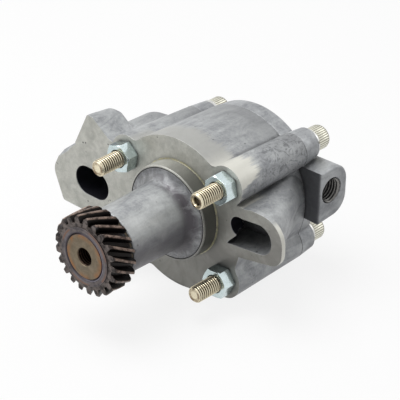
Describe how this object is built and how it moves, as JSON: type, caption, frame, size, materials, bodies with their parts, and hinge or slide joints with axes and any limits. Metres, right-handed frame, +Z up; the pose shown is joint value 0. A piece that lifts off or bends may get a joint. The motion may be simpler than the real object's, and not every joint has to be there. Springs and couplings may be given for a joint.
{
  "type": "engine oil pump",
  "caption": "Engine oil pump with a long round snout, a helical drive gear, a cast flanged body with an inlet and an outlet in its mounting face, and a bolted rear cover with a threaded port.",
  "frame": {"origin": "on the pump axis, in the machined mounting face of the flange", "axes": "-Y along the pump axis out through the drive gear, +Y to the rear cover, +Z up, +X to the side of the outlet and of the threaded port"},
  "size_m": [0.143, 0.1251, 0.0758],
  "materials": {
    "cast_aluminium": "bead blasted casting",
    "cover_aluminium": "bead blasted casting",
    "gasket_sheet": "thin sealing sheet",
    "hardened_gear_steel": "hardened, brown and dark",
    "shaft_steel": "ground, heat tinted end",
    "washer_bronze": "smooth",
    "bush_bronze": "bored",
    "sintered_steel": "sintered",
    "pin_steel": "ground",
    "spring_steel": "drawn wire",
    "plug_steel": "zinc plated",
    "copper_washer": "soft copper",
    "screw_steel": "zinc nickel plated, straw tinted",
    "washer_steel": "bright",
    "nut_steel": "bright zinc plated"
  },
  "bodies": {
    "pump_body": {"pump_housing": "cast_aluminium", "rear_cover": "cover_aluminium", "cover_gasket": "gasket_sheet", "thrust_washer": "washer_bronze", "front_bush": "bush_bronze", "mid_bush": "bush_bronze", "rear_bush": "bush_bronze", "dowel_pins": "pin_steel", "relief_spring": "spring_steel", "relief_plug": "plug_steel", "relief_plug_washer": "copper_washer", "cap_screws": "screw_steel", "lock_washers": "washer_steel", "hex_nuts": "nut_steel"},
    "rotor_shaft": {"drive_gear": "hardened_gear_steel", "drive_shaft": "shaft_steel", "inner_rotor": "sintered_steel", "rotor_drive_pin": "pin_steel"},
    "ring_rotor": {"outer_rotor": "sintered_steel"},
    "relief_valve": {"relief_plunger": "pin_steel"}
  },
  "joints": [
    {"name": "drive_spin", "type": "hinge", "parent": "pump_body", "child": "rotor_shaft", "pos_m": [0, 0, 0], "axis": [0, -1, 0], "continuous": true},
    {"name": "ring_rotor_spin", "type": "hinge", "parent": "pump_body", "child": "ring_rotor", "pos_m": [-0.0009, 0.03, -0.00369], "axis": [0, -1, 0], "continuous": true},
    {"name": "relief_plunger_slide", "type": "slide", "parent": "pump_body", "child": "relief_valve", "axis": [-1, 0, 0], "range_m": [0, 0.008], "stiffness_N_per_m": 1500, "springref_m": -0.004, "deforming": ["relief_spring"]}
  ],
  "couplings": [
    {"joint": "ring_rotor_spin", "follows": "drive_spin", "ratio": 0.8}
  ]
}
